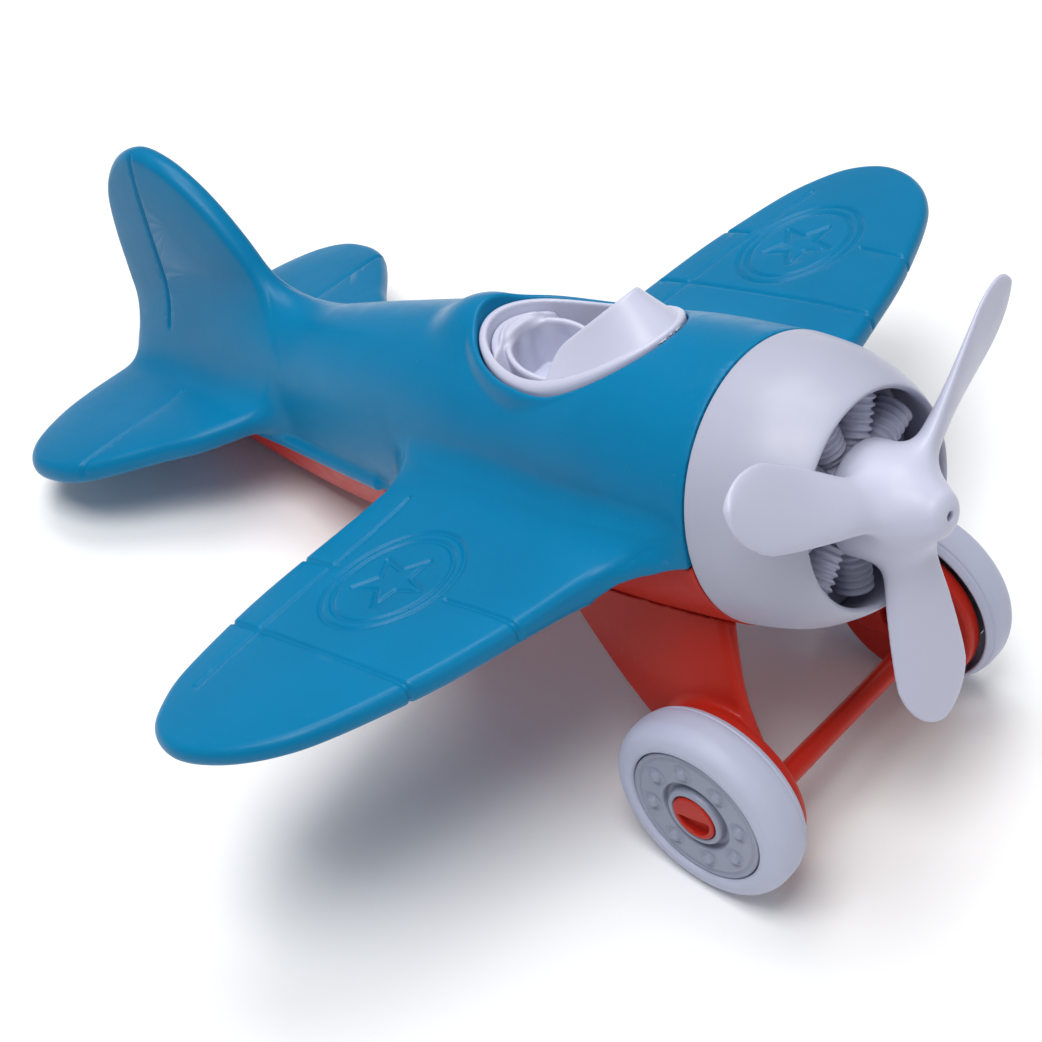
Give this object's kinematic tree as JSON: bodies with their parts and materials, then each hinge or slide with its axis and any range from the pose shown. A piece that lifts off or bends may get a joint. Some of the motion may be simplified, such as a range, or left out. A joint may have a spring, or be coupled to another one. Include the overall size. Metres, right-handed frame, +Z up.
{
  "type": "toy airplane",
  "caption": "Low-wing toy airplane for small hands, with a radial engine in a round cowling, open cockpit, spinning propeller and free-rolling wheels.",
  "frame": {"origin": "on the floor, at the middle of the footprint box of the standing toy", "axes": "+Z up from the floor, +X forwards to the propeller, +Y to the toy's left wing; the toy stands on its wheels and tail with its nose up"},
  "size_m": [0.2582, 0.24, 0.1173],
  "materials": {
    "blue_plastic": "satin moulded polyethylene, blue",
    "red_plastic": "satin moulded polyethylene, red",
    "grey_plastic": "satin moulded polyethylene, pale lavender grey",
    "tyre_plastic": "satin moulded polyethylene, pale lavender grey"
  },
  "bodies": {
    "airframe": {"upper_body": "blue_plastic", "belly": "red_plastic", "belly_pins": "red_plastic", "cockpit_tub": "grey_plastic", "windshield": "grey_plastic", "pilot_seat": "grey_plastic", "cowling": "grey_plastic", "engine": "grey_plastic", "gear_leg_right": "red_plastic", "gear_leg_left": "red_plastic", "gear_crossbar": "red_plastic", "axle_right": "red_plastic", "axle_left": "red_plastic"},
    "prop_group": {"propeller": "grey_plastic", "prop_shaft": "grey_plastic", "shaft_clip": "grey_plastic"},
    "wheel_right": {"tyre_right": "tyre_plastic", "wheel_disc_right": "grey_plastic"},
    "wheel_left": {"tyre_left": "tyre_plastic", "wheel_disc_left": "grey_plastic"}
  },
  "joints": [
    {"name": "prop_spin", "type": "hinge", "parent": "airframe", "child": "prop_group", "pos_m": [0.11183, 0, 0.08819], "axis": [0.9517, 0, 0.307], "continuous": true},
    {"name": "wheel_right_spin", "type": "hinge", "parent": "airframe", "child": "wheel_right", "pos_m": [0.09712, -0.0383, 0.0224], "axis": [0, 1, 0], "continuous": true},
    {"name": "wheel_left_spin", "type": "hinge", "parent": "airframe", "child": "wheel_left", "pos_m": [0.09712, 0.0383, 0.0224], "axis": [0, 1, 0], "continuous": true}
  ]
}
